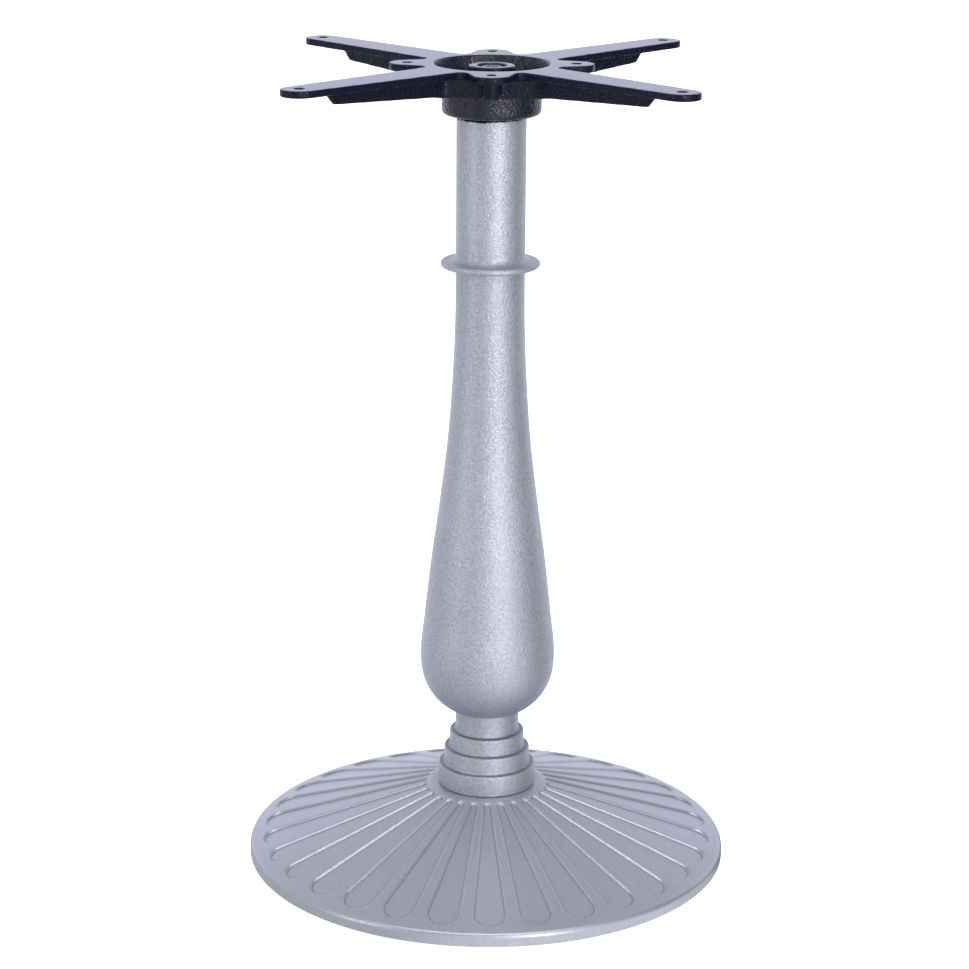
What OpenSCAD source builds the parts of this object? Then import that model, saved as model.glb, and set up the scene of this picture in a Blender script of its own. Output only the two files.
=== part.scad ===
// Round pedestal table base: a fluted cast foot plate, a turned baluster column
// and a four-armed cast spider, drawn together by one tie rod inside the column.
// Lengths are millimetres. The origin is on the floor, on the column's axis, and
// the arms of the spider lie on the diagonals.

/* [Overall] */
// Height from the floor to the top face of the spider
overall_h = 720; // [560:5:1100]
// Outer diameter of the foot plate
plate_d = 430; // [400:5:560]
// Gap between the floor and the rim of the foot plate
rim_gap = 3; // [2:0.5:6]

/* [Foot plate] */
// Height of the rim's outer wall, up to where the dome begins
rim_h = 12.6; // [10:0.1:20]
// Radius of the rounded upper edge of the rim
rim_round = 5; // [2:0.5:8]
// Width of the ring on which the rim ends below
rim_foot_w = 9; // [6:0.5:14]
// Rise of the dome from the rim to the seat of the column
dome_rise = 52; // [40:0.1:80]
// Radius of the flat seat around the column
seat_r = 50; // [46:1:58]
// Thickness of the cast shell
plate_wall = 6; // [4:0.5:9]
// Radius of the boss under the seat
hub_r = 22; // [16:1:30]
// Height of the boss's lower face above the floor
hub_z = 26; // [24:1:34]
// Thickness of the four ribs under the dome
rib_t = 6; // [4:0.5:9]
// Height of the disc that centres the column on the seat
spigot_h = 4; // [2:0.5:8]
// Radial wall of the column around that disc
spigot_wall = 6; // [3:0.5:9]

/* [Flutes] */
// Number of flutes in the dome
flute_count = 30; // [20:1:32]
// Angle by which the flutes are turned from the X axis
flute_turn = 7.4; // [0:0.1:12]
// Depth of a flute below the dome
flute_depth = 2; // [1:0.1:3]
// Width of a flute at its round outer end
flute_outer_w = 26; // [16:0.5:28]
// Width of a flute at its round inner end
flute_inner_w = 5.2; // [3:0.1:6]
// Plain border between the flutes and the edge of the plate
flute_border = 15; // [12:0.5:24]
// Plain border between the flutes and the seat
flute_gap = 4.5; // [3:0.5:10]

/* [Column] */
// Outer diameter of the plain upper column
column_d = 60; // [54:1:66]
// Greatest diameter of the bulb
bulb_d = 120; // [90:1:150]
// Height of the bulb's widest place above the seat
bulb_rise = 124.5; // [116:0.5:150]
// Height of the rounded underside of the bulb
bulb_tuck = 53.9; // [40:0.1:58]
// Diameter of the neck under the bulb
neck_d = 57; // [50:1:62]
// Diameter of the lowest step of the column's foot
foot_d = 86.6; // [80:0.1:90]
// Height of the lowest step
foot_h = 19.5; // [14:0.5:24]
// Height of each of the two steps above it
step_h = 15.7; // [10:0.1:18]
// Radius of the rounded edges and fillets of the steps
step_round = 1.8; // [0.8:0.1:2.5]
// Height of the ring's lower face under the column's shoulder
ring_drop = 130; // [80:1:180]
// Outer diameter of the ring
ring_d = 86.6; // [76:0.1:110]
// Thickness of the ring at its edge
ring_t = 5.4; // [4:0.1:9]
// Radius of the fillet between the ring and the column above it
ring_fillet = 7; // [3:0.5:10]
// Wall of the hollow column
column_wall = 4.5; // [3.5:0.5:8]
// Diameter of the spigot at the column's top
top_spigot_d = 59.2; // [52:0.1:64]
// Length of that spigot
top_spigot_h = 23.5; // [16:0.5:30]

/* [Spider] */
// Distance between neighbouring arm holes, along the sides of their square
arm_pitch = 305; // [240:5:360]
// Diameter of the circle of lug holes
lug_pcd = 143.5; // [138:0.5:160]
// Diameter of every screw hole
hole_d = 8; // [5:0.5:10]
// Height of the whole spider
spider_h = 43.5; // [36:0.1:50]
// Thickness of the flat plate of arms and lugs
arm_t = 6.2; // [5:0.2:9]
// Radius of an arm's round end
arm_end_r = 15.7; // [12:0.1:20]
// Taper of each side of an arm, in degrees
arm_taper = 1.6; // [0.5:0.1:2.5]
// Radius of a lug's round end
lug_end_r = 15.5; // [12:0.5:18]
// Taper of each side of a lug, in degrees
lug_taper = 16; // [8:1:20]
// Radius of the hollow corner between a lug and an arm
notch_r = 6.5; // [4:0.5:8]
// Width of the gusset under each lug
gusset_w = 19.4; // [14:0.2:22]
// Height of the hub and of the ribs where they meet it, with the plate
hub_h = 22; // [18:0.5:26]
// Depth of a rib below the plate at its outer end
rib_end_h = 10.6; // [8:0.1:13]
// Width of a rib at its outer end
rib_end_w = 3; // [2:0.2:5]
// Taper of each side of a rib, in degrees
rib_taper = 4.4; // [3:0.1:5]
// Height of the step from the hub's lower face up to the ribs
rib_step = 1; // [0.5:0.1:2]
// Length of the slope in which a rib ends
rib_slope_w = 9.5; // [5:0.5:12]
// Distance from the end of an arm to the end of its rib
rib_end_gap = 42.5; // [36:0.5:50]
// Half width across the flats of the hub under the plate
hub_flat = 54; // [52:1:58]
// Radius of the bowl in the top of the hub
bowl_r = 48.5; // [46:0.5:51]
// Depth of that bowl
bowl_depth = 15; // [12:0.5:16]
// Radius of the boss in the middle of the bowl
boss_r = 20.2; // [17:0.1:24]
// Drop of the boss's top below the top face of the spider
boss_drop = 1.6; // [1:0.1:5]
// Outer diameter of the collar that takes the column
collar_d = 85.5; // [76:0.5:90]
// Radius of the collar's rounded lower edge
collar_round = 4.5; // [2:0.5:6]

/* [Tie rod] */
// Diameter of the tie rod
rod_d = 10; // [8:1:12]
// Width of its nuts across the flats
nut_w = 17; // [15:1:19]
// Height of each nut
nut_h = 8.4; // [6:0.2:10]
// Outer diameter of the upper washer
washer_d = 21; // [20:0.5:23]
// Thickness of the washers
washer_t = 2; // [1.5:0.5:3]
// Outer diameter of the lower washer
lower_washer_d = 30; // [24:1:32]
// Drop of the upper nut's top below the boss
nut_drop = 1.3; // [0.5:0.1:3]

/* [Levelling glides] */
// Distance from the edge of the foot plate to the middles of the four glides
glide_inset = 37; // [31:1:60]
// Diameter of the threaded stems
stem_d = 8; // [6:1:10]
// Length of each stem that is in the plate
stem_grip = 13; // [10:0.5:14]
// Diameter of the pads
pad_d = 24; // [18:1:30]
// Thickness of the pads
pad_t = 5; // [4:0.5:8]
// Radius of the bosses that take the stems
glide_boss_r = 11; // [8:0.5:14]

/* [Hidden] */
$fn = 128;

// Overrun of every cut, the clearances of the fits, and the radius of small edges
over = 1;
thread_gap = 0.05;
spigot_gap = 0.3;
rod_gap = 0.5;
washer_gap = 1.9;
glide_gap = 0.3;
edge_round = 0.8;
silver = [0.66, 0.66, 0.70];
black = [0.07, 0.07, 0.11];
steel = [0.60, 0.58, 0.55];
nylon = [0.12, 0.12, 0.13];

// Heights that the pieces share
plate_r = plate_d / 2;
rim_top_r = plate_r - rim_round;
glide_r = plate_r - glide_inset;
rim_top_z = rim_gap + rim_h;
seat_z = rim_top_z + dome_rise;
dome_slope = dome_rise / (rim_top_r - seat_r);
collar_z = overall_h - spider_h;
socket_z = overall_h - hub_h;
shoulder_z = socket_z - top_spigot_h;
bulb_z = seat_z + bulb_rise;
ring_z = shoulder_z - ring_drop;
column_r = column_d / 2;
foot_r = foot_d / 2;
neck_r = neck_d / 2;
bulb_r = bulb_d / 2;
ring_r = ring_d / 2;
socket_r = top_spigot_d / 2 + spigot_gap;
foot_bore_r = foot_r - spigot_wall;
rod_r = rod_d / 2;

// Arcs and smooth curves that outlines are made of
function arc(x, y, r, a0, a1, n) = [for (i = [0:n]) let(a = a0 + (a1 - a0) * i / n) [x + r * cos(a), y + r * sin(a)]];
function tangent(t, i) =
    i == 0 || i == len(t) - 1 ? 0 : (t[i + 1][1] - t[i - 1][1]) / (t[i + 1][0] - t[i - 1][0]);
function hermite(t, i, s) =
    let(h = t[i + 1][0] - t[i][0])
    [t[i][0] + s * h,
     (1 + 2 * s) * pow(1 - s, 2) * t[i][1] + s * pow(1 - s, 2) * h * tangent(t, i)
     + s * s * (3 - 2 * s) * t[i + 1][1] + s * s * (s - 1) * h * tangent(t, i + 1)];
function smooth(t, n) = [for (i = [0:len(t) - 2]) for (j = [0:n - 1]) hermite(t, i, j / n)];

// How the column widens from the ring, at 0, to the bulb's widest place, at 1
swell_shares = [[0, 0], [0.15, 0.016], [0.3, 0.096], [0.45, 0.233], [0.6, 0.448], [0.75, 0.688], [0.9, 0.886], [1, 1]];
// The powers that square off the round underside of the bulb
tuck_out_share = 1.52;
tuck_down_share = 0.79;

function swell(z_top, r_top, r_low) = [
    for (p = smooth(swell_shares, 5)) [r_top + (r_low - r_top) * p[1], z_top - (z_top - bulb_z) * p[0]]
];
function tuck(r_in, r_out, h) = [
    for (a = [0:7.5:90]) [r_in + (r_out - r_in) * pow(cos(a), tuck_out_share), bulb_z - h * pow(sin(a), tuck_down_share)]
];

// Foot plate

function dome_z(r) = seat_z - (r - seat_r) * dome_slope;
dome_lean = atan(dome_slope);
shell_drop = plate_wall / cos(dome_lean);
under_r = plate_r - rim_foot_w;
boss_z = pad_t + glide_gap;

module plate_shell() {
    rotate_extrude($fn = 180)
        difference() {
            polygon(concat(
                [[0, seat_z], [seat_r, seat_z]],
                arc(rim_top_r, rim_top_z - rim_round / cos(dome_lean), rim_round, 90 - dome_lean, 0, 6),
                [[plate_r, rim_gap], [0, rim_gap]]
            ));
            polygon([
                [0, rim_gap - over], [under_r, rim_gap - over], [under_r - rim_foot_w / 4, dome_z(under_r) - shell_drop],
                [seat_r, seat_z - shell_drop], [0, seat_z - shell_drop]
            ]);
        }
}

// One flute's outline: two round ends with straight sides between them
module flute_outline() {
    outer_r = flute_outer_w / 2;
    inner_r = flute_inner_w / 2;
    x0 = seat_r + flute_gap + inner_r;
    x1 = plate_r - flute_border - outer_r;
    lean = asin((outer_r - inner_r) / (x1 - x0));
    polygon(concat(
        arc(x0, 0, inner_r, 270 - lean, 90 + lean, 8),
        arc(x1, 0, outer_r, 90 + lean, -90 - lean, 20)
    ));
}

module flutes() {
    r0 = seat_r + flute_gap / 2;
    r1 = plate_r - flute_border / 2;
    intersection() {
        for (i = [0:flute_count - 1])
            rotate(flute_turn + i * 360 / flute_count)
                linear_extrude(seat_z + over) flute_outline();
        rotate_extrude($fn = 180)
            polygon([
                [r0, dome_z(r0) - flute_depth], [r1, dome_z(r1) - flute_depth],
                [r1, seat_z + over], [r0, seat_z + over]
            ]);
    }
}

// Boss, ribs and glide bosses under the shell
module plate_underside() {
    intersection() {
        union() {
            translate([0, 0, hub_z])
                cylinder(h = seat_z - hub_z, r = hub_r);
            for (a = [45:90:315])
                rotate(a) {
                    rotate([90, 0, 0])
                        linear_extrude(rib_t, center = true)
                            polygon([
                                [0, hub_z], [hub_r, hub_z], [under_r, boss_z], [under_r + rim_foot_w / 2, boss_z],
                                [under_r + rim_foot_w / 2, seat_z], [0, seat_z]
                            ]);
                    translate([glide_r, 0, boss_z])
                        cylinder(h = seat_z, r = glide_boss_r, $fn = 64);
                }
        }
        rotate_extrude($fn = 180)
            polygon([
                [0, 0], [plate_r - rim_foot_w / 2, 0],
                [plate_r - rim_foot_w / 2, dome_z(plate_r - rim_foot_w / 2) - shell_drop / 2],
                [seat_r, seat_z - shell_drop / 2], [0, seat_z - shell_drop / 2]
            ]);
    }
}

module base_plate() {
    color(silver)
        difference() {
            union() {
                plate_shell();
                plate_underside();
                translate([0, 0, seat_z - over])
                    cylinder(h = spigot_h + over, r = foot_bore_r - spigot_gap);
            }
            flutes();
            cylinder(h = overall_h, r = rod_r + rod_gap, $fn = 48);
            for (a = [45:90:315])
                rotate(a)
                    translate([glide_r, 0, 0])
                        cylinder(h = boss_z + stem_grip + over, d = stem_d + 2 * thread_gap, $fn = 48);
        }
}

// Column

step_inset = (foot_r - neck_r) / 3;
function step_edge(r, z) = concat(
    arc(r - step_inset + step_round, z + step_round, step_round, 180, 270, 5),
    arc(r - step_round, z - step_round, step_round, 90, 0, 5)
);
ring_edge = ring_t / 2;
cavity_z = seat_z + 2 * spigot_h;

module column_outside() {
    steps = concat(
        step_edge(foot_r - 2 * step_inset, seat_z + foot_h + 2 * step_h),
        step_edge(foot_r - step_inset, seat_z + foot_h + step_h),
        step_edge(foot_r, seat_z + foot_h)
    );
    polygon(concat(
        [[0, socket_z], [top_spigot_d / 2 - edge_round, socket_z], [top_spigot_d / 2, socket_z - edge_round]],
        [[top_spigot_d / 2, shoulder_z]],
        arc(column_r - edge_round, shoulder_z - edge_round, edge_round, 90, 0, 3),
        arc(column_r + ring_fillet, ring_z + ring_t + ring_fillet, ring_fillet, 180, 270, 7),
        arc(ring_r - ring_edge, ring_z + ring_edge, ring_edge, 90, -90, 10),
        arc(column_r + edge_round, ring_z - edge_round, edge_round, 90, 180, 3),
        swell(ring_z - 2 * edge_round, column_r, bulb_r),
        tuck(neck_r, bulb_r, bulb_tuck),
        steps,
        [[foot_r, seat_z], [0, seat_z]]
    ));
}

module column_inside() {
    polygon(concat(
        [[0, socket_z + over], [column_r - column_wall, socket_z + over]],
        swell(ring_z - 2 * edge_round, column_r - column_wall, bulb_r - column_wall),
        tuck(neck_r - column_wall, bulb_r - column_wall, bulb_tuck - column_wall),
        [[neck_r - column_wall, cavity_z + foot_bore_r - neck_r + column_wall]],
        [[foot_bore_r, cavity_z], [foot_bore_r, seat_z - over], [0, seat_z - over]]
    ));
}

module column() {
    color(silver)
        rotate_extrude($fn = 180)
            difference() {
                column_outside();
                column_inside();
            }
}

// Spider

arm_r = arm_pitch / sqrt(2);
lug_r = lug_pcd / 2;
arm_n = -45 + arm_taper;
lug_n = 90 - lug_taper;
plate_under_z = overall_h - arm_t;
bowl_z = overall_h - bowl_depth;
boss_top_z = overall_h - boss_drop;
nut_top_z = boss_top_z - nut_drop;
recess_z = nut_top_z - nut_h - washer_t;
recess_r = washer_d / 2 + washer_gap;
// How much of its width a gusset keeps at its lower end
gusset_foot_share = 0.76;

// Centre of a circle that touches two lines, given by the angles of their normals and their distances
function touch(a, da, b, db) = [da * sin(b) - db * sin(a), db * cos(a) - da * cos(b)] / sin(b - a);
function notch(a, da, b, db, r) =
    let(c = touch(a, da + r, b, db + r)) arc(c[0], c[1], r, a + 180, b + 180, 6);
function mirrored(p) = [for (i = [len(p) - 2:-1:1]) [p[i][1], p[i][0]]];
function turned(p, a) = [for (q = p) [q[0] * cos(a) - q[1] * sin(a), q[0] * sin(a) + q[1] * cos(a)]];
function fourfold(p) = [for (k = [0:3]) for (q = turned(concat(p, mirrored(p)), 90 * k)) q];

// An eighth of the flat plate, from the middle of a lug to the middle of an arm
plate_eighth = concat(
    arc(lug_r, 0, lug_end_r, 0, lug_n, 8),
    notch(lug_n, lug_r * cos(lug_n) + lug_end_r, arm_n, arm_r * cos(45 - arm_n) + arm_end_r, notch_r),
    arc(arm_r * cos(45), arm_r * sin(45), arm_end_r, arm_n, 45, 8)
);
// An eighth of the hub and ribs below it
rib_end_r = rib_end_w / 2;
rib_c = arm_r + arm_end_r - rib_end_gap - rib_end_r;
rib_n = -45 + rib_taper;
rib_eighth = concat(
    [[hub_flat, 0]],
    notch(0, hub_flat, rib_n, rib_c * cos(45 - rib_n) + rib_end_r, notch_r),
    arc(rib_c * cos(45), rib_c * sin(45), rib_end_r, rib_n, 45, 4)
);

// The ribs get shallower outwards, and their ends slope
module rib_envelope() {
    rib_r = rib_c + rib_end_r;
    hub_corner_r = hub_flat * sqrt(2);
    rotate_extrude($fn = 180)
        polygon([
            [0, socket_z], [hub_corner_r - notch_r, socket_z], [hub_corner_r, socket_z + rib_step],
            [rib_r - rib_slope_w, plate_under_z - rib_end_h], [rib_r, plate_under_z],
            [rib_r, plate_under_z + arm_t / 2], [0, plate_under_z + arm_t / 2]
        ]);
}

// Rounded gussets that carry the lugs, just inside the screw holes
module lug_gussets() {
    gusset_r = gusset_w / 2;
    gusset_foot_r = gusset_r * gusset_foot_share;
    gusset_x = lug_r - hole_d / 2 - gusset_r;
    for (a = [0:90:270])
        rotate(a)
            translate([0, 0, socket_z]) {
                translate([gusset_x, 0, 0])
                    cylinder(h = hub_h - arm_t / 2, r1 = gusset_foot_r, r2 = gusset_r, $fn = 64);
                translate([0, -gusset_foot_r, 0])
                    cube([gusset_x, 2 * gusset_foot_r, hub_h - arm_t / 2]);
            }
}

module spider_top_hollows() {
    floor_r = bowl_r - bowl_depth / 4;
    rotate_extrude($fn = 128)
        difference() {
            polygon(concat(
                [[0, overall_h + over], [bowl_r + 2 * edge_round + over, overall_h + over]],
                arc(bowl_r + 2 * edge_round, overall_h - 2 * edge_round, 2 * edge_round, 90, 180, 4),
                arc(floor_r - boss_drop, bowl_z + boss_drop, boss_drop, 0, -90, 4),
                [[0, bowl_z]]
            ));
            polygon([
                [0, bowl_z - over], [boss_r + edge_round, bowl_z - over], [boss_r, boss_top_z - edge_round],
                [boss_r - edge_round, boss_top_z], [0, boss_top_z]
            ]);
        }
    translate([0, 0, recess_z])
        cylinder(h = spider_h, r = recess_r, $fn = 64);
}

module spider() {
    color(black)
        difference() {
            union() {
                translate([0, 0, plate_under_z])
                    linear_extrude(arm_t) polygon(fourfold(plate_eighth));
                intersection() {
                    translate([0, 0, socket_z])
                        linear_extrude(hub_h - arm_t / 2) polygon(fourfold(rib_eighth));
                    rib_envelope();
                }
                lug_gussets();
                rotate_extrude($fn = 128)
                    polygon(concat(
                        [[0, socket_z + over], [collar_d / 2, socket_z + over]],
                        arc(collar_d / 2 - collar_round, collar_z + collar_round, collar_round, 0, -90, 5),
                        [[0, collar_z]]
                    ));
            }
            spider_top_hollows();
            cylinder(h = overall_h, r = rod_r + rod_gap, $fn = 48);
            translate([0, 0, collar_z - over])
                cylinder(h = socket_z - collar_z + over, r = socket_r);
            for (a = [0:90:270])
                rotate(a)
                    translate([lug_r, 0, collar_z])
                        cylinder(h = spider_h + over, d = hole_d, $fn = 48);
            for (a = [45:90:315])
                rotate(a)
                    translate([arm_r, 0, collar_z])
                        cylinder(h = spider_h + over, d = hole_d, $fn = 48);
        }
}

// Tie rod, nuts and washers

bolt_low_z = hub_z - washer_t - nut_h - rod_r;

module tie_rod() {
    color(steel)
        rotate_extrude($fn = 48)
            polygon([
                [0, bolt_low_z], [rod_r - edge_round, bolt_low_z], [rod_r, bolt_low_z + edge_round],
                [rod_r, nut_top_z - 2 * edge_round], [rod_r - edge_round, nut_top_z - edge_round],
                [0, nut_top_z - edge_round]
            ]);
}

module washer(z, d) {
    color(steel)
        translate([0, 0, z])
            difference() {
                cylinder(h = washer_t, d = d, $fn = 64);
                translate([0, 0, -over])
                    cylinder(h = washer_t + 2 * over, r = rod_r + rod_gap / 2, $fn = 48);
            }
}

// A hexagon nut whose corners are turned off above and below
module nut(z) {
    corner_r = nut_w / sqrt(3);
    flat_r = nut_w / 2;
    color(steel)
        translate([0, 0, z])
            difference() {
                intersection() {
                    cylinder(h = nut_h, r = corner_r, $fn = 6);
                    rotate_extrude($fn = 96)
                        polygon([
                            [0, 0], [flat_r, 0], [corner_r, (corner_r - flat_r) / 2],
                            [corner_r, nut_h - (corner_r - flat_r) / 2], [flat_r, nut_h], [0, nut_h]
                        ]);
                }
                translate([0, 0, -over])
                    cylinder(h = nut_h + 2 * over, r = rod_r + thread_gap, $fn = 48);
            }
}

// Levelling glides

module glide_pad(i) {
    color(nylon)
        rotate(45 + 90 * (i - 1))
            translate([glide_r, 0, 0])
                difference() {
                    rotate_extrude($fn = 96)
                        polygon([
                            [0, 0], [pad_d / 2 - edge_round, 0], [pad_d / 2, edge_round],
                            [pad_d / 2, pad_t / 2], [pad_d / 2 - pad_t / 4, pad_t], [0, pad_t]
                        ]);
                    translate([0, 0, pad_t / 3])
                        cylinder(h = pad_t, d = stem_d + 2 * thread_gap, $fn = 48);
                }
}

module glide_stem(i) {
    stem_r = stem_d / 2;
    top_z = boss_z + stem_grip;
    color(steel)
        rotate(45 + 90 * (i - 1))
            translate([glide_r, 0, 0])
                rotate_extrude($fn = 48)
                    polygon([
                        [0, pad_t / 3], [stem_r, pad_t / 3], [stem_r, top_z - edge_round],
                        [stem_r - edge_round, top_z], [0, top_z]
                    ]);
}

base_plate();
column();
spider();
tie_rod();
washer(recess_z, washer_d);  // top_washer
nut(recess_z + washer_t);  // top_nut
washer(hub_z - washer_t, lower_washer_d);  // bottom_washer
nut(hub_z - washer_t - nut_h);  // bottom_nut
glide_pad(1);  // glide_pad_1
glide_pad(2);  // glide_pad_2
glide_pad(3);  // glide_pad_3
glide_pad(4);  // glide_pad_4
glide_stem(1);  // glide_stem_1
glide_stem(2);  // glide_stem_2
glide_stem(3);  // glide_stem_3
glide_stem(4);  // glide_stem_4
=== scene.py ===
import math

import bmesh
import bpy
from mathutils import Matrix, Vector


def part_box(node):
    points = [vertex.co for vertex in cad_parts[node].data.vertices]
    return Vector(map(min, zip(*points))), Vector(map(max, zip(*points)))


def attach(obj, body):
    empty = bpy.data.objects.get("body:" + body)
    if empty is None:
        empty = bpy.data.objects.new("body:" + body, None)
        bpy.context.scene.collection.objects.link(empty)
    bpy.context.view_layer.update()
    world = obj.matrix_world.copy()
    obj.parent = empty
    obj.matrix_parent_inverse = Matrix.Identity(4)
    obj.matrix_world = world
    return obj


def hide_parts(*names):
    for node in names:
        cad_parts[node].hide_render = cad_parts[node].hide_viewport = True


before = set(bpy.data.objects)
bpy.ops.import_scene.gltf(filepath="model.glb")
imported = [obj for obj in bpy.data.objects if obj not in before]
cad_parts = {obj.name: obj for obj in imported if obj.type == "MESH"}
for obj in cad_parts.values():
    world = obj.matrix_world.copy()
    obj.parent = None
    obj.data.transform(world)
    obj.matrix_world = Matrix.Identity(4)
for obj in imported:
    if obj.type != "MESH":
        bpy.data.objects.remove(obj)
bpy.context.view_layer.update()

MM = 0.001
scene = bpy.context.scene
scene.view_settings.view_transform = "Standard"

CAMERA_PLACE = Vector((13.0, -2434.0, 1067.5)) * MM
CAMERA_YAW = -0.00686
CAMERA_PITCH = 0.28751
CAMERA_ROLL = -0.00739
FOCAL_PIXELS = 2874.07
PHOTO_PIXELS = 969
SENSOR_WIDTH = 36.0

forward = Vector((
    math.sin(CAMERA_YAW) * math.cos(CAMERA_PITCH),
    math.cos(CAMERA_YAW) * math.cos(CAMERA_PITCH),
    -math.sin(CAMERA_PITCH),
))
level = Vector((math.cos(CAMERA_YAW), -math.sin(CAMERA_YAW), 0))
right = Matrix.Rotation(CAMERA_ROLL, 3, forward) @ level
up = right.cross(forward)
camera = bpy.data.objects.new("camera", bpy.data.cameras.new("camera"))
camera.data.sensor_width = SENSOR_WIDTH
camera.data.lens = FOCAL_PIXELS / PHOTO_PIXELS * SENSOR_WIDTH
camera.matrix_world = Matrix((right, up, -forward)).transposed().to_4x4()
camera.matrix_world.translation = CAMERA_PLACE
scene.collection.objects.link(camera)
scene.camera = camera


def linear(hex_colour):
    """An sRGB hex colour as the linear colour that a shader takes."""
    parts = [int(hex_colour[i:i + 2], 16) / 255 for i in (1, 3, 5)]
    return (*[c / 12.92 if c < 0.04045 else ((c + 0.055) / 1.055) ** 2.4 for c in parts], 1)


def add(tree, kind, inputs=None, **settings):
    """Adds a shader node. An input is a value, or the output socket that feeds it."""
    node = tree.nodes.new("ShaderNode" + kind)
    for name, value in settings.items():
        setattr(node, name, value)
    for name, value in (inputs or {}).items():
        if isinstance(value, bpy.types.NodeSocket):
            tree.links.new(value, node.inputs[name])
        else:
            node.inputs[name].default_value = value
    return node


# World and lamps
# White paper all round, and even for the camera. Paint and gloss reflect it
# unevenly: bright in front on the right, where the key softbox lights it, dark at
# a black flag on the far right, bright and a little blue behind, dimmer overhead.
PAPER_WHITE = linear("#FDFDFD")
STUDIO_WHITE = linear("#F6F6FA")
STUDIO_BLUE = linear("#E4E4F6")
AMBIENT_LIGHT = 1.1
REFLECTED_LIGHT = 0.62
# Each tone has its bearing and its reach in degrees, and the light that it adds.
# Bearings start at the camera's side and turn to the right.
REFLECTED_TONES = [(20, 46, 0.66), (60, 24, 0.22), (98, 30, -0.42), (165, 34, -0.1), (180, 75, 0.62)]
# Heights and edges are those of a direction that is one unit long.
OVERHEAD_SHARE = 0.75
OVERHEAD_FROM = 0.25
OVERHEAD_TO = 0.8
# The front of the dome mirrors this patch, high up behind the base.
DIM_PATCH_LIGHT = -0.4
DIM_PATCH_PLACE = (0, 0.61, 0.79)
DIM_PATCH_EDGE = 0.76


def studio(tree, place):
    """Colour and strength of the paper in reflections, by its direction from the object."""
    flat = add(tree, "VectorMath", {0: place, 1: (1, 1, 0)}, operation="MULTIPLY")
    bearing = add(tree, "VectorMath", {0: flat.outputs["Vector"]}, operation="NORMALIZE")
    strength = REFLECTED_LIGHT
    for degrees, reach, light in REFLECTED_TONES:
        turn = math.radians(degrees)
        near = add(tree, "VectorMath", {
            0: bearing.outputs["Vector"], 1: (math.sin(turn), -math.cos(turn), 0),
        }, operation="DOT_PRODUCT")
        share = add(tree, "MapRange", {
            "Value": near.outputs["Value"], "From Min": math.cos(math.radians(reach)),
        }, interpolation_type="SMOOTHSTEP")
        strength = add(tree, "Math", {
            0: share.outputs[0], 1: light, 2: strength,
        }, operation="MULTIPLY_ADD").outputs[0]
    behind = add(tree, "VectorMath", {
        0: bearing.outputs["Vector"], 1: (0, 1, 0),
    }, operation="DOT_PRODUCT")
    colour = add(tree, "Mix", {
        "Factor": behind.outputs["Value"], 6: STUDIO_WHITE, 7: STUDIO_BLUE,
    }, data_type="RGBA")
    return colour.outputs[2], strength


def in_plain_view(tree, path):
    """1 for what the camera sees directly or through something clear, otherwise 0."""
    return add(tree, "Math", {
        0: path.outputs["Is Camera Ray"], 1: path.outputs["Is Transmission Ray"],
    }, operation="MAXIMUM").outputs[0]


world = bpy.data.worlds.new("white_sweep")
scene.world = world
world.use_nodes = True
tree = world.node_tree
tree.nodes.clear()
path = add(tree, "LightPath")
where = add(tree, "TexCoord").outputs["Generated"]
ambient = add(tree, "Background", {"Color": STUDIO_WHITE, "Strength": AMBIENT_LIGHT})
height = add(tree, "SeparateXYZ", {"Vector": where})
overhead = add(tree, "MapRange", {
    "Value": height.outputs["Z"], "From Min": OVERHEAD_FROM, "From Max": OVERHEAD_TO,
    "To Min": 1.0, "To Max": OVERHEAD_SHARE,
})
colour, strength = studio(tree, where)
tone = add(tree, "Math", {0: strength, 1: overhead.outputs[0]}, operation="MULTIPLY")
near = add(tree, "VectorMath", {0: where, 1: DIM_PATCH_PLACE}, operation="DOT_PRODUCT")
patch = add(tree, "MapRange", {
    "Value": near.outputs["Value"], "From Min": DIM_PATCH_EDGE,
}, interpolation_type="SMOOTHSTEP")
tone = add(tree, "Math", {
    0: patch.outputs[0], 1: DIM_PATCH_LIGHT, 2: tone.outputs[0],
}, operation="MULTIPLY_ADD")
mirrored = add(tree, "Background", {"Color": colour, "Strength": tone.outputs[0]})
paper = add(tree, "Background", {"Color": PAPER_WHITE, "Strength": 1.0})
lit = add(tree, "MixShader", {
    0: path.outputs["Is Glossy Ray"], 1: ambient.outputs[0], 2: mirrored.outputs[0],
})
mixed = add(tree, "MixShader", {0: in_plain_view(tree, path), 1: lit.outputs[0], 2: paper.outputs[0]})
add(tree, "OutputWorld", {"Surface": mixed.outputs[0]})


def softbox(name, place, width, height, watts, target):
    """A rectangular lamp at place, in metres, that faces target."""
    lamp = bpy.data.lights.new(name, "AREA")
    lamp.shape = "RECTANGLE"
    lamp.size = width
    lamp.size_y = height
    lamp.energy = watts
    box = bpy.data.objects.new(name, lamp)
    box.location = place
    box.rotation_euler = (Vector(target) - Vector(place)).to_track_quat("-Z", "Y").to_euler()
    scene.collection.objects.link(box)


softbox("key_softbox", place=(1.05, -2.2, 1.1), width=0.13, height=2.2, watts=17.5, target=(0, 0, 0.5))
softbox("fill_softbox", place=(-2.2, -1.3, 1.1), width=0.08, height=2.2, watts=8, target=(0, 0, 0.5))
softbox("top_softbox", place=(0, -0.5, 2.3), width=2.2, height=0.5, watts=12, target=(0, -0.2, 0))

# Floor
# A sheet of matt white paper. It glows for the camera, so that only the base's
# own shadow shows on it, and gloss reflects it as it does the rest of the studio.
# It reaches this many metres each way.
FLOOR_REACH = 15
FLOOR_PAPER = linear("#EDEDEF")
FLOOR_GLOW = 0.86


def new_finish(name):
    """A node material with nothing in it yet."""
    finish = bpy.data.materials.new(name)
    finish.use_nodes = True
    finish.node_tree.nodes.clear()
    return finish


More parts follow.
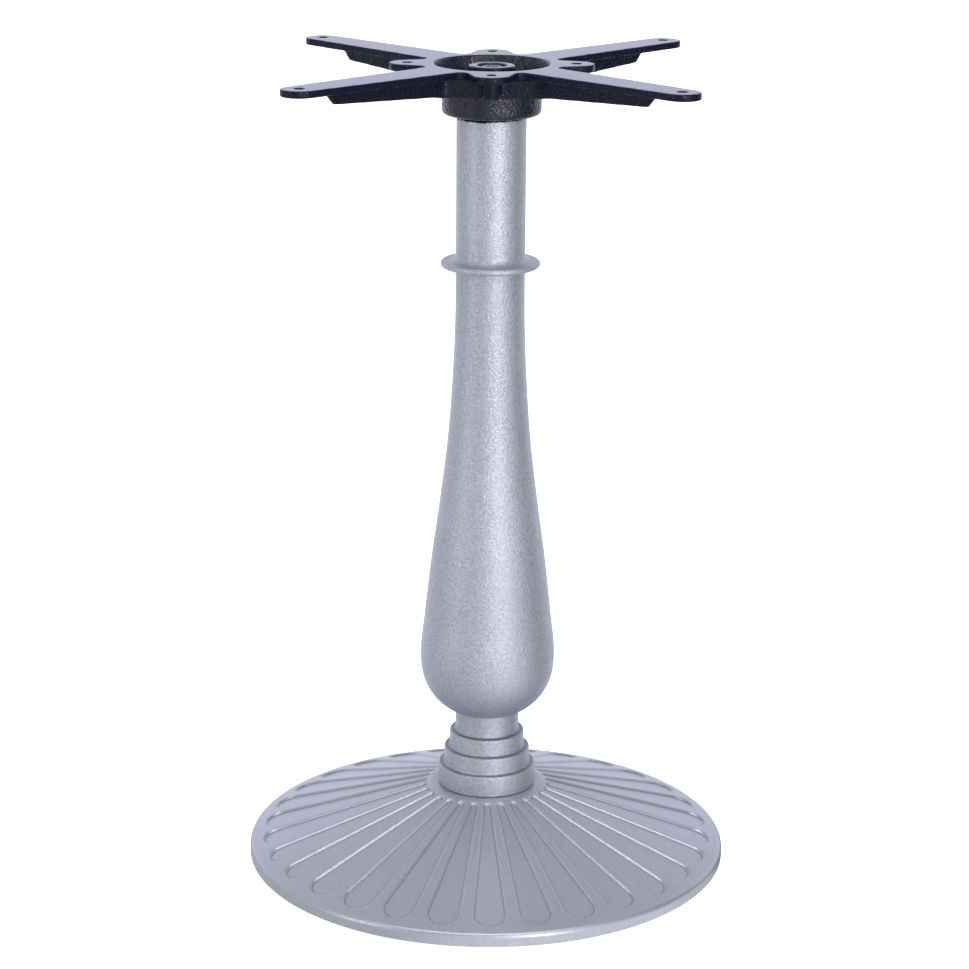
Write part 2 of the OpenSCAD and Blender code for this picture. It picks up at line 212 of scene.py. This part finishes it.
paper_sheet = new_finish("white_paper")
tree = paper_sheet.node_tree
path = add(tree, "LightPath")
where = add(tree, "TexCoord").outputs["Object"]
matt = add(tree, "BsdfDiffuse", {"Color": FLOOR_PAPER})
glow = add(tree, "Emission", {"Color": PAPER_WHITE, "Strength": FLOOR_GLOW})
lit = add(tree, "AddShader", {0: matt.outputs[0], 1: glow.outputs[0]})
shown = add(tree, "MixShader", {0: in_plain_view(tree, path), 1: matt.outputs[0], 2: lit.outputs[0]})
colour, strength = studio(tree, where)
mirrored = add(tree, "Emission", {"Color": colour, "Strength": strength})
mixed = add(tree, "MixShader", {
    0: path.outputs["Is Glossy Ray"], 1: shown.outputs[0], 2: mirrored.outputs[0],
})
add(tree, "OutputMaterial", {"Surface": mixed.outputs[0]})

floor_mesh = bpy.data.meshes.new("floor")
shape = bmesh.new()
bmesh.ops.create_grid(shape, x_segments=1, y_segments=1, size=FLOOR_REACH)
shape.to_mesh(floor_mesh)
shape.free()
floor_mesh.materials.append(paper_sheet)
floor = bpy.data.objects.new("floor", floor_mesh)
scene.collection.objects.link(floor)

# Foot plate
# A round iron casting, domed and hollow below, with 30 shallow flutes that run
# out from the column's seat like petals. Four ribs and the glides' bosses are
# cast in below. Sprayed with silver metallic paint.
# The frame gives the lowest and the highest corner of each CAD node.
plate_low, plate_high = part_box("base_plate")
column_low, column_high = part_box("column")
PLATE_R = plate_high.x
PLATE_WALL = 6 * MM
PLATE_CHAMFER = 1 * MM
RIM_GAP = plate_low.z
RIM_TOP_Z = 15.6 * MM
RIM_ROUND = 5 * MM
RIM_TOP_R = PLATE_R - RIM_ROUND
RIM_WIDTH = 9 * MM
RIM_DRAFT = 2 * MM
RIM_INNER_RISE = 1.3 * MM
SEAT_R = 50 * MM
SEAT_Z = column_low.z
# The soft edge between the seat and the dome: out from SEAT_R, and down.
SEAT_EDGE = [(-4 * MM, 0), (-1 * MM, 0.06 * MM), (0.5 * MM, 0.3 * MM)]
DISC_R = 37 * MM
DISC_TOP_Z = plate_high.z
ROD_BORE_R = 5.5 * MM
HUB_R = 22 * MM
HUB_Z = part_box("bottom_washer")[1].z
RIB_T = 6 * MM
RIB_END_R = 208 * MM
RIB_ROOT = 1.5 * MM
GLIDES = 4
GLIDE_R = 178 * MM
GLIDE_TURN = math.radians(45)
GLIDE_BOSS_R = 11 * MM
GLIDE_BOSS_CHAMFER = 0.5 * MM
GLIDE_BORE_R = 4.05 * MM
GLIDE_BORE_H = 14 * MM
GLIDE_BOSS_Z = 5.3 * MM

FLUTES = 30
FLUTE_TURN = math.radians(7.4)
FLUTE_DEPTH = 1.8 * MM
FLUTE_INNER_R = 2.6 * MM
FLUTE_OUTER_R = 13.4 * MM
FLUTE_INNER_X = SEAT_R + 4.5 * MM + FLUTE_INNER_R
FLUTE_OUTER_X = PLATE_R - 12.6 * MM - FLUTE_OUTER_R
# A flute's wall, from its foot to its brow, by distance from the flute's outline.
FLUTE_FOOT = -0.3 * MM
FLUTE_BROW = 1.7 * MM
# How a ring's points are shared out between a flute's floor and its walls, how
# far the walls' share reaches past them, and the width of flute where it fades out.
STEPS_A_FLUTE = 26
EDGE_HALVINGS = 16
FLOOR_SHARE = 0.4
WALL_SHARE = 0.4
FOOT_MARGIN = 0.7 * MM
BROW_MARGIN = 0.4 * MM
FADE_WIDTH = 6 * MM
# Where the rings of the dome change their spacing, and the number up to the next
# place. They are closest where the flutes begin and end.
DOME_RINGS = [
    (SEAT_R + 2 * MM, 14), (FLUTE_INNER_X + 0.9 * MM, 38), (FLUTE_OUTER_X, 10),
    (FLUTE_OUTER_X + 10 * MM, 15), (FLUTE_OUTER_X + 17 * MM, 3), (RIM_TOP_R, 0),
]
# The flutes are cut outside this radius, and not in what lies deeper than this
# below the dome's top, which belongs to its underside.
FLUTES_FROM_R = SEAT_R + 1 * MM
DOME_SKIN = 3 * MM
MERGE_GAP = 0.01 * MM
SHARP_ANGLE = math.radians(40)

dome_slope = (SEAT_Z - RIM_TOP_Z) / (RIM_TOP_R - SEAT_R)
dome_lean = math.atan(dome_slope)
shell = PLATE_WALL / math.cos(dome_lean)


def arc(x, y, r, start, end, parts):
    """Points round a circle from one angle to another, in degrees."""
    angles = [math.radians(start + (end - start) * i / parts) for i in range(parts + 1)]
    return [(x + r * math.cos(a), y + r * math.sin(a)) for a in angles]


def spun(name, outline, steps, copies=1, start=0, carve=None):
    """A solid of revolution from an outline of (radius, height).

    The outline starts and ends on the axis, or it is closed round a bore. The solid is
    made as one sector, which carve may shape, and copies of that sector."""
    shape = bmesh.new()
    corners = [shape.verts.new((r * math.cos(start), r * math.sin(start), z)) for r, z in outline]
    edges = [shape.edges.new(pair) for pair in zip(corners, corners[1:])]
    if outline[0][0] > 0:
        edges.append(shape.edges.new((corners[-1], corners[0])))
    about = {"cent": (0, 0, 0), "axis": (0, 0, 1), "use_merge": False}
    sector = math.tau / copies
    bmesh.ops.spin(shape, geom=corners + edges, angle=sector, steps=steps, use_duplicate=False, **about)
    if carve:
        carve(shape.verts)
    if copies > 1:
        whole = shape.verts[:] + shape.edges[:] + shape.faces[:]
        rest = math.tau - sector
        bmesh.ops.spin(shape, geom=whole, angle=rest, steps=copies - 1, use_duplicate=True, **about)
    bmesh.ops.remove_doubles(shape, verts=shape.verts, dist=MERGE_GAP)
    bmesh.ops.recalc_face_normals(shape, faces=shape.faces)
    mesh = bpy.data.meshes.new(name)
    shape.to_mesh(mesh)
    shape.free()
    return mesh


def show(name, mesh, finish, body, node):
    """Puts a finished mesh in the scene in place of the node that it stands for."""
    mesh.shade_smooth()
    mesh.set_sharp_from_angle(angle=SHARP_ANGLE)
    mesh.materials.clear()
    mesh.materials.append(finish)
    piece = bpy.data.objects.new(name, mesh)
    scene.collection.objects.link(piece)
    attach(piece, body)
    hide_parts(node)


def dome_z(r):
    """Height of the top of the plate at a radius, before its flutes are cut."""
    return SEAT_Z - max(r - SEAT_R, 0) * dome_slope


def flute_distance(x, y):
    """Distance from a point to the outline of a flute along X, below 0 inside it."""
    length = FLUTE_OUTER_X - FLUTE_INNER_X
    lean = (FLUTE_INNER_R - FLUTE_OUTER_R) / length
    straight = math.sqrt(1 - lean * lean)
    across, along = abs(y), x - FLUTE_INNER_X
    share = along * straight - across * lean
    if share < 0:
        return math.hypot(across, along) - FLUTE_INNER_R
    if share > straight * length:
        return math.hypot(across, along - length) - FLUTE_OUTER_R
    return across * straight + along * lean - FLUTE_INNER_R


def flute_edge(r):
    """Angle from the middle line of a flute to its outline, round the plate's axis."""
    inside, outside = 0, math.pi / FLUTES
    for halving in range(EDGE_HALVINGS):
        middle = (inside + outside) / 2
        if flute_distance(r * math.cos(middle), r * math.sin(middle)) < 0:
            inside = middle
        else:
            outside = middle
    return inside


def crowded(r, turn):
    """Angle of a point, moved so that a flute's walls get their share of its ring's points."""
    half = math.pi / FLUTES
    edge = flute_edge(r)
    low = max(edge + (FLUTE_FOOT - FOOT_MARGIN) / r, 0)
    high = min(edge + (FLUTE_BROW + BROW_MARGIN) / r, half)
    land_from = FLOOR_SHARE + WALL_SHARE
    share = abs(turn) / half
    if share < FLOOR_SHARE:
        moved = low * share / FLOOR_SHARE
    elif share < land_from:
        moved = low + (high - low) * (share - FLOOR_SHARE) / WALL_SHARE
    else:
        moved = high + (half - high) * (share - land_from) / (1 - land_from)
    weight = min(edge * r / FADE_WIDTH, 1)
    return math.copysign(abs(turn) * (1 - weight) + moved * weight, turn)


def carve_flute(corners):
    """Lowers the dome's points into the flute that runs along the middle of the sector."""
    for corner in corners:
        x, y, z = corner.co
        r = math.hypot(x, y)
        if not FLUTES_FROM_R < r < RIM_TOP_R or z < dome_z(r) - DOME_SKIN:
            continue
        turn = crowded(r, math.atan2(y, x) - FLUTE_TURN)
        corner.co.x = r * math.cos(FLUTE_TURN + turn)
        corner.co.y = r * math.sin(FLUTE_TURN + turn)
        out = flute_distance(r * math.cos(turn), r * math.sin(turn))
        sunk = (FLUTE_BROW - out) / (FLUTE_BROW - FLUTE_FOOT)
        corner.co.z -= FLUTE_DEPTH * min(max(sunk, 0), 1)


dome = []
for stretch, (begins, rings) in enumerate(DOME_RINGS[:-1]):
    ends = DOME_RINGS[stretch + 1][0]
    dome += [begins + (ends - begins) * i / rings for i in range(rings)]
dome.append(RIM_TOP_R)
rim_centre_z = RIM_TOP_Z - RIM_ROUND / math.cos(dome_lean)
rim_inner_r = PLATE_R - RIM_WIDTH
roof_z = SEAT_Z - shell
plate_outline = (
    [(ROD_BORE_R, DISC_TOP_Z), (DISC_R, DISC_TOP_Z), (DISC_R, SEAT_Z)]
    + [(SEAT_R + out, SEAT_Z - down) for out, down in SEAT_EDGE]
    + [(r, dome_z(r)) for r in dome]
    + arc(RIM_TOP_R, rim_centre_z, RIM_ROUND, 90 - math.degrees(dome_lean), 0, 8)
    + [(PLATE_R, RIM_GAP + PLATE_CHAMFER), (PLATE_R - PLATE_CHAMFER, RIM_GAP)]
    + [(rim_inner_r + PLATE_CHAMFER, RIM_GAP), (rim_inner_r, RIM_GAP + PLATE_CHAMFER)]
    + [(rim_inner_r - RIM_DRAFT, RIM_TOP_Z - shell + RIM_INNER_RISE), (SEAT_R, roof_z)]
    + [(HUB_R + PLATE_CHAMFER, roof_z), (HUB_R, roof_z - PLATE_CHAMFER)]
    + [(HUB_R, HUB_Z + PLATE_CHAMFER), (HUB_R - PLATE_CHAMFER, HUB_Z), (ROD_BORE_R, HUB_Z)]
)
sector_start = FLUTE_TURN - math.pi / FLUTES
plate_mesh = spun("foot_plate", plate_outline, STEPS_A_FLUTE, FLUTES, sector_start, carve_flute)


def rib_top(r):
    """Height at which the ribs and the glides' bosses end, just inside the shell."""
    return dome_z(r) - shell + RIB_ROOT


boss_outline = [
    (0, GLIDE_BOSS_Z + GLIDE_BORE_H), (GLIDE_BORE_R, GLIDE_BOSS_Z + GLIDE_BORE_H),
    (GLIDE_BORE_R, GLIDE_BOSS_Z), (GLIDE_BOSS_R - GLIDE_BOSS_CHAMFER, GLIDE_BOSS_Z),
    (GLIDE_BOSS_R, GLIDE_BOSS_Z + GLIDE_BOSS_CHAMFER), (GLIDE_BOSS_R, SEAT_Z), (0, SEAT_Z),
]
rib_outline = [
    (HUB_R / 2, HUB_Z), (HUB_R, HUB_Z), (RIB_END_R, GLIDE_BOSS_Z), (RIB_END_R, rib_top(RIB_END_R)),
    (SEAT_R, rib_top(SEAT_R)), (HUB_R / 2, rib_top(SEAT_R)),
]
boss_mesh = spun("glide_boss", boss_outline, 48)
whole = bmesh.new()
whole.from_mesh(plate_mesh)
for glide in range(GLIDES):
    turn = Matrix.Rotation(GLIDE_TURN + math.tau / GLIDES * glide, 4, "Z")
    begun = len(whole.verts)
    whole.from_mesh(boss_mesh)
    whole.verts.ensure_lookup_table()
    for corner in whole.verts[begun:]:
        corner.co.x += GLIDE_R
        if corner.co.z > SEAT_Z - PLATE_CHAMFER:
            corner.co.z = rib_top(corner.co.x)
        corner.co = turn @ corner.co
    side = [whole.verts.new(turn @ Vector((r, -RIB_T / 2, z))) for r, z in rib_outline]
    face = whole.faces.new(side)
    grown = bmesh.ops.extrude_face_region(whole, geom=[face], use_keep_orig=True)["geom"]
    far_side = [item for item in grown if isinstance(item, bmesh.types.BMVert)]
    bmesh.ops.translate(whole, verts=far_side, vec=turn.to_3x3() @ Vector((0, RIB_T, 0)))
bmesh.ops.recalc_face_normals(whole, faces=whole.faces)
whole.to_mesh(plate_mesh)
whole.free()

# Painted shade: the castings' paint is darkened in a thin band along their corners, where shade falls.
FLUTE_SHADE_REACH = 0.8 * MM
SHADE_DARKENS = 0.45


def darken(mesh, painted_shade):
    """Stores at each point how much painted shade lies there, from 0 to 1."""
    spots = mesh.attributes.new("painted_corner_shade", "FLOAT", "POINT").data
    for corner, spot in zip(mesh.vertices, spots):
        spot.value = painted_shade(*corner.co)


def flute_painted_shade(x, y, z):
    """Painted shade in the corner at the foot of the flutes' walls, on top of the plate."""
    r, sector = math.hypot(x, y), math.tau / FLUTES
    if r > RIM_TOP_R or z < dome_z(r) - DOME_SKIN:
        return 0
    turn = (math.atan2(y, x) - FLUTE_TURN + sector / 2) % sector - sector / 2
    out = flute_distance(r * math.cos(turn), r * math.sin(turn))
    return max(1 - abs(out - FLUTE_FOOT) / FLUTE_SHADE_REACH, 0)


# Silver metallic paint is fine flakes in a clear binder, so it shines softly, and
# the skin of the casting breaks the shine up. The grain is drawn coarser than the
# real one, which wouldn't show, and lightens and darkens the paint by the speckle.
PAINT = linear("#ADB1BB")
PAINT_CLOUD = 55.56 * MM
PAINT_CLOUD_SHARE = 0.15


def silver_paint(name, grain_mm, grain_depth_mm, speckle, roughness):
    """Silver metallic paint over a casting whose skin has a grain of this size and depth."""
    paint = new_finish(name)
    tree = paint.node_tree
    place = add(tree, "TexCoord").outputs["Object"]
    grain = add(tree, "TexNoise", {
        "Vector": place, "Scale": 1 / (grain_mm * MM), "Detail": 3.0, "Roughness": 0.6,
    })
    cloud = add(tree, "TexNoise", {"Vector": place, "Scale": 1 / PAINT_CLOUD, "Detail": 2.0})
    mixed = add(tree, "Math", {
        0: cloud.outputs["Fac"], 1: PAINT_CLOUD_SHARE, 2: grain.outputs["Fac"],
    }, operation="MULTIPLY_ADD")
    tone = add(tree, "MapRange", {
        "Value": mixed.outputs[0], "From Min": 0.4, "From Max": 0.75,
        "To Min": 1 - speckle, "To Max": 1 + speckle,
    })
    # The paint is darkened by the painted shade stored at each point.
    painted_shade = add(tree, "Attribute", attribute_name="painted_corner_shade")
    kept = add(tree, "Math", {
        0: painted_shade.outputs["Fac"], 1: -SHADE_DARKENS, 2: 1.0,
    }, operation="MULTIPLY_ADD")
    value = add(tree, "Math", {0: tone.outputs[0], 1: kept.outputs[0]}, operation="MULTIPLY")
    colour = add(tree, "HueSaturation", {"Color": PAINT, "Value": value.outputs[0]})
    bump = add(tree, "Bump", {
        "Height": grain.outputs["Fac"], "Strength": 1.0, "Distance": grain_depth_mm * MM,
    })
    skin = add(tree, "BsdfPrincipled", {
        "Base Color": colour.outputs[0], "Metallic": 0.65, "Roughness": roughness,
        "Normal": bump.outputs[0],
    })
    add(tree, "OutputMaterial", {"Surface": skin.outputs[0]})
    return paint


# Painted shade goes into the corners at the foot of the flutes' walls.
darken(plate_mesh, flute_painted_shade)
plate_paint = silver_paint(
    "silver_paint_on_smooth_casting", grain_mm=1.8, grain_depth_mm=0.16, speckle=0.08, roughness=0.31,
)
show("foot_plate", plate_mesh, plate_paint, "root", "base_plate")

# Column
# One hollow casting, shaped like a turned baluster: three steps, a neck, a bulb, a
# long swell up to the ring, and a plain length. Its skin is finely pebbled under
# the same paint, and its top is smeared with black where it enters the spider.
COLUMN_R = 30 * MM
COLUMN_WALL = 4.5 * MM
COLUMN_EDGE = 0.8 * MM
BULB_R = column_high.x
BULB_Z = 192.1 * MM
BULB_TUCK = 53.9 * MM
# Powers that square off the round underside of the bulb, outwards and downwards.
BULB_OUT_POWER = 1.52
BULB_DOWN_POWER = 0.79
NECK_R = 28.5 * MM
FOOT_R = 43.3 * MM
# The soft lower edge of the foot, on the plate: in from FOOT_R, and up.
FOOT_EDGE = [(0, 0.9 * MM), (0.8 * MM, 0.6 * MM), (1.2 * MM, 0)]
FOOT_BORE_R = 37.3 * MM
FOOT_BORE_TOP_Z = 75.6 * MM
STEP_ROUND = 1.8 * MM
STEP_TOPS = [(33.4 * MM, 118.5 * MM), (38.4 * MM, 102.8 * MM), (FOOT_R, 87.1 * MM)]
STEP_INSET = (FOOT_R - NECK_R) / 3
SHOULDER_Z = 674.5 * MM
SPIGOT_TOP_Z = column_high.z
SPIGOT_R = 29.6 * MM
RING_Z = 544.5 * MM
RING_R = 43.3 * MM
RING_T = 5.4 * MM
RING_FILLET = 7 * MM
# Shares of the way down the swell, and of its growth in radius by there.
SWELL_SHARES = [
    (0, 0), (0.15, 0.016), (0.3, 0.096), (0.45, 0.233),
    (0.6, 0.448), (0.75, 0.688), (0.9, 0.886), (1, 1),
]
STEP_SHADE_REACH = 1.1 * MM
SMEAR = linear("#0B0C12")
SMEAR_DAB = 3.846 * MM
SMEAR_FROM_Z = SHOULDER_Z - 3.4 * MM
SMEAR_TO_Z = SHOULDER_Z + 0.6 * MM
# The smear thins out to the right between these places, by this much.
SMEAR_FULL_X = -10 * MM
SMEAR_THIN_X = 30 * MM
SMEAR_THINS = 0.35


def swell_share(t):
    """How far the column has widened, from 0 at the ring to 1 at the bulb's widest place."""
    i = max(k for k in range(len(SWELL_SHARES) - 1) if SWELL_SHARES[k][0] <= t)
    slopes = []
    for k in (i, i + 1):
        if k in (0, len(SWELL_SHARES) - 1):
            slopes.append(0)
            continue
        before, after = SWELL_SHARES[k - 1], SWELL_SHARES[k + 1]
        slopes.append((after[1] - before[1]) / (after[0] - before[0]))
    (t0, s0), (t1, s1) = SWELL_SHARES[i], SWELL_SHARES[i + 1]
    h = t1 - t0
    u = (t - t0) / h
    return (
        (1 + 2 * u) * (1 - u) ** 2 * s0 + u * (1 - u) ** 2 * h * slopes[0]
        + u * u * (3 - 2 * u) * s1 + u * u * (u - 1) * h * slopes[1]
    )


def swell(inset, parts):
    """The long swell from the ring down to the bulb, moved inwards by inset."""
    top = RING_Z - 2 * COLUMN_EDGE
    points = []
    for i in range(parts):
        down, out = i / parts, swell_share(i / parts)
        points.append((COLUMN_R - inset + (BULB_R - COLUMN_R) * out, top - (top - BULB_Z) * down))
    return points


def tuck(inset, parts):
    """The squared-off round underside of the bulb, moved inwards by inset."""
    points = []
    for i in range(parts + 1):
        a = math.radians(90 * i / parts)
        out = max(math.cos(a), 0) ** BULB_OUT_POWER
        down = math.sin(a) ** BULB_DOWN_POWER
        points.append((NECK_R - inset + (BULB_R - NECK_R) * out, BULB_Z - (BULB_TUCK - inset) * down))
    return points


def step_painted_shade(x, y, z):
    """Painted shade in the roots of the three steps and at the joint with the foot plate."""
    roots = [step_z for step_r, step_z in STEP_TOPS] + [SEAT_Z]
    return max(max(1 - abs(z - root) / STEP_SHADE_REACH, 0) for root in roots)


steps = []
for r, z in STEP_TOPS:
    steps += arc(r - STEP_INSET + STEP_ROUND, z + STEP_ROUND, STEP_ROUND, 180, 270, 5)
    steps += arc(r - STEP_ROUND, z - STEP_ROUND, STEP_ROUND, 90, 0, 5)
inner_neck_r = NECK_R - COLUMN_WALL
inside = [(COLUMN_R - COLUMN_WALL, SPIGOT_TOP_Z)] + swell(COLUMN_WALL, 30) + tuck(COLUMN_WALL, 12)
inside += [(inner_neck_r, FOOT_BORE_TOP_Z + FOOT_BORE_R - inner_neck_r)]
inside += [(FOOT_BORE_R, FOOT_BORE_TOP_Z), (FOOT_BORE_R, SEAT_Z)]
column_outline = (
    [(SPIGOT_R - COLUMN_EDGE, SPIGOT_TOP_Z), (SPIGOT_R, SPIGOT_TOP_Z - COLUMN_EDGE)]
    + [(SPIGOT_R, SHOULDER_Z)]
    + arc(COLUMN_R - COLUMN_EDGE, SHOULDER_Z - COLUMN_EDGE, COLUMN_EDGE, 90, 0, 4)
    + arc(COLUMN_R + RING_FILLET, RING_Z + RING_T + RING_FILLET, RING_FILLET, 180, 270, 8)
    + arc(RING_R - RING_T / 2, RING_Z + RING_T / 2, RING_T / 2, 90, -90, 10)
    + arc(COLUMN_R + COLUMN_EDGE, RING_Z - COLUMN_EDGE, COLUMN_EDGE, 90, 180, 4)
    + swell(0, 90) + tuck(0, 30) + steps
    + [(FOOT_R - back, SEAT_Z + up) for back, up in FOOT_EDGE]
    + inside[::-1]
)
column_mesh = spun("baluster_column", column_outline, 160)
# Painted shade: the paint darkens in the roots of the steps and where the column stands on the plate.
darken(column_mesh, step_painted_shade)

# The column's paint, with the black smear laid over its colour in ragged dabs.
column_paint = silver_paint(
    "silver_paint_on_pebbled_casting", grain_mm=2.1, grain_depth_mm=0.6, speckle=0.18, roughness=0.36,
)
tree = column_paint.node_tree
skin = next(node for node in tree.nodes if node.type == "BSDF_PRINCIPLED")
place = add(tree, "TexCoord").outputs["Object"]
height = add(tree, "SeparateXYZ", {"Vector": place})
at_top = add(tree, "MapRange", {
    "Value": height.outputs["Z"], "From Min": SMEAR_FROM_Z, "From Max": SMEAR_TO_Z,
})
to_right = add(tree, "MapRange", {
    "Value": height.outputs["X"], "From Min": SMEAR_FULL_X, "From Max": SMEAR_THIN_X,
    "To Min": 0.0, "To Max": -SMEAR_THINS,
})
dabs = add(tree, "TexNoise", {"Vector": place, "Scale": 1 / SMEAR_DAB, "Detail": 2.0})
laid = add(tree, "Math", {0: dabs.outputs["Fac"], 1: at_top.outputs[0]}, operation="ADD")
laid = add(tree, "Math", {0: laid.outputs[0], 1: to_right.outputs[0]}, operation="ADD")
smear = add(tree, "MapRange", {"Value": laid.outputs[0], "From Min": 1.0, "From Max": 1.08})
kept = skin.inputs["Base Color"].links[0].from_socket
smeared = add(tree, "Mix", {"Factor": smear.outputs[0], 6: kept, 7: SMEAR}, data_type="RGBA")
tree.links.new(smeared.outputs[2], skin.inputs["Base Color"])
show("baluster_column", column_mesh, column_paint, "root", "column")

# Spider
# A sand-cast iron cross with four lugs between its arms, ribs below, a bowl and
# a boss on top. The mould rounds its edges, and gloss black enamel lies over the
# rough skin. Its shape is the CAD's, with the edges softened.
TOP_FACE_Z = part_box("spider")[1].z
HUB_BOTTOM_Z = 697.7 * MM
# A ground face lies within this band below the top, and its normal rises this much.
GROUND_BAND = 2 * MM
GROUND_RISE = 0.9
# The skin is roughest inside this radius, below the hub and in the bowl.
ROUGH_R = 50 * MM
BOWL_EDGE = 0.8 * MM
SKIN_VOXEL = 1.0 * MM
SKIN_SOFTENINGS = 7
SKIN_KEPT_SHARE = 0.5

# Gloss black enamel shines sharply, and its shine breaks up on the grain of the
# sand below it. The bowl and the collar are roughest. The faces that carry the
# table top are ground flat; their enamel is painted a lighter blue-grey, a painted
# reflection of the bright studio that they face at a grazing angle.
ENAMEL = linear("#0D1124")
# A lighter blue-grey for the top faces: a painted reflection of the bright studio.
PAINTED_REFLECTION_ENAMEL = linear("#565870")
ENAMEL_ROUGHNESS = 0.12
# Places of the rough and the ground finish among the spider's materials.
ROUGH_PLACE = 1
GROUND_PLACE = 2


def black_enamel(name, colour, grain_mm, grain_depth_mm, shine):
    """Gloss black enamel over iron with a grain of this size and depth."""
    enamel = new_finish(name)
    tree = enamel.node_tree
    place = add(tree, "TexCoord").outputs["Object"]
    sand = add(tree, "TexNoise", {"Vector": place, "Scale": 1 / (grain_mm * MM), "Detail": 1.0})
    bump = add(tree, "Bump", {
        "Height": sand.outputs["Fac"], "Strength": 1.0, "Distance": grain_depth_mm * MM,
    })
    skin = add(tree, "BsdfPrincipled", {
        "Base Color": colour, "Roughness": ENAMEL_ROUGHNESS, "Specular IOR Level": shine,
        "Normal": bump.outputs[0],
    })
    add(tree, "OutputMaterial", {"Surface": skin.outputs[0]})
    return enamel


casting = bpy.data.objects.new("casting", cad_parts["spider"].data.copy())
scene.collection.objects.link(casting)
shape = bmesh.new()
shape.from_mesh(casting.data)
bmesh.ops.remove_doubles(shape, verts=shape.verts, dist=MERGE_GAP)
shape.to_mesh(casting.data)
shape.free()
remesh = casting.modifiers.new("skin", "REMESH")
remesh.mode = "VOXEL"
remesh.voxel_size = SKIN_VOXEL
remesh.adaptivity = 0
soften = casting.modifiers.new("soften", "SMOOTH")
soften.factor = 0.5
soften.iterations = SKIN_SOFTENINGS
thin = casting.modifiers.new("thin", "DECIMATE")
thin.ratio = SKIN_KEPT_SHARE
bpy.context.view_layer.update()
softened = casting.evaluated_get(bpy.context.evaluated_depsgraph_get())
spider_mesh = bpy.data.meshes.new_from_object(softened)
bpy.data.objects.remove(casting)

smooth_enamel = black_enamel(
    "gloss_black_enamel", ENAMEL, grain_mm=2.2, grain_depth_mm=0.7, shine=0.18,
)
rough_enamel = black_enamel(
    "gloss_black_enamel_on_rough_sand_casting", ENAMEL, grain_mm=2.4, grain_depth_mm=1.1, shine=0.5,
)
# The top faces get the lighter colour: a painted reflection.
ground_enamel_with_painted_reflection = black_enamel(
    "gloss_black_enamel_on_ground_faces_with_painted_reflection", PAINTED_REFLECTION_ENAMEL, grain_mm=2.0, grain_depth_mm=0.06, shine=0.3,
)
show("arm_spider", spider_mesh, smooth_enamel, "root", "spider")
spider_mesh.materials.append(rough_enamel)
spider_mesh.materials.append(ground_enamel_with_painted_reflection)
for face in spider_mesh.polygons:
    x, y, z = face.center
    inwards = x * face.normal.x + y * face.normal.y < 0
    in_bowl = inwards and HUB_BOTTOM_Z < z < TOP_FACE_Z - BOWL_EDGE
    if face.normal.z > GROUND_RISE and z > TOP_FACE_Z - GROUND_BAND:
        face.material_index = GROUND_PLACE
    elif math.hypot(x, y) < ROUGH_R and (z < HUB_BOTTOM_Z or in_bowl):
        face.material_index = ROUGH_PLACE

# Tie rod, nuts, washers and glide stems
# Zinc-plated steel, dulled by handling: a soft grey metal with cloudy stains. The
# rod's end and the upper nut show in the recess of the spider's boss.
ZINC_DARK = linear("#74757A")
ZINC_LIGHT = linear("#B2B3B8")
ZINC_STAIN = 4.167 * MM


def dress(node, finish):
    """Gives a CAD node its finish. Its mesh stays as it is."""
    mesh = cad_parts[node].data
    mesh.materials.clear()
    mesh.materials.append(finish)


zinc = new_finish("dulled_zinc_plate")
tree = zinc.node_tree
place = add(tree, "TexCoord").outputs["Object"]
stain = add(tree, "TexNoise", {"Vector": place, "Scale": 1 / ZINC_STAIN, "Detail": 4.0})
colour = add(tree, "Mix", {
    "Factor": stain.outputs["Fac"], 6: ZINC_DARK, 7: ZINC_LIGHT,
}, data_type="RGBA")
skin = add(tree, "BsdfPrincipled", {"Base Color": colour.outputs[2], "Metallic": 1.0, "Roughness": 0.4})
add(tree, "OutputMaterial", {"Surface": skin.outputs[0]})
for node in ["tie_rod", "top_washer", "top_nut", "bottom_washer", "bottom_nut"]:
    dress(node, zinc)
for glide in range(1, GLIDES + 1):
    dress(f"glide_stem_{glide}", zinc)

# Glide pads
# Moulded black nylon, satin, with a fine grain from the mould. One under each
# screw stem.
NYLON = linear("#17171A")
NYLON_GRAIN = 0.667 * MM
NYLON_GRAIN_DEPTH = 0.05 * MM

nylon = new_finish("moulded_nylon")
tree = nylon.node_tree
place = add(tree, "TexCoord").outputs["Object"]
grain = add(tree, "TexNoise", {"Vector": place, "Scale": 1 / NYLON_GRAIN, "Detail": 2.0})
bump = add(tree, "Bump", {"Height": grain.outputs["Fac"], "Strength": 0.4, "Distance": NYLON_GRAIN_DEPTH})
skin = add(tree, "BsdfPrincipled", {"Base Color": NYLON, "Roughness": 0.5, "Normal": bump.outputs[0]})
add(tree, "OutputMaterial", {"Surface": skin.outputs[0]})
for glide in range(1, GLIDES + 1):
    dress(f"glide_pad_{glide}", nylon)
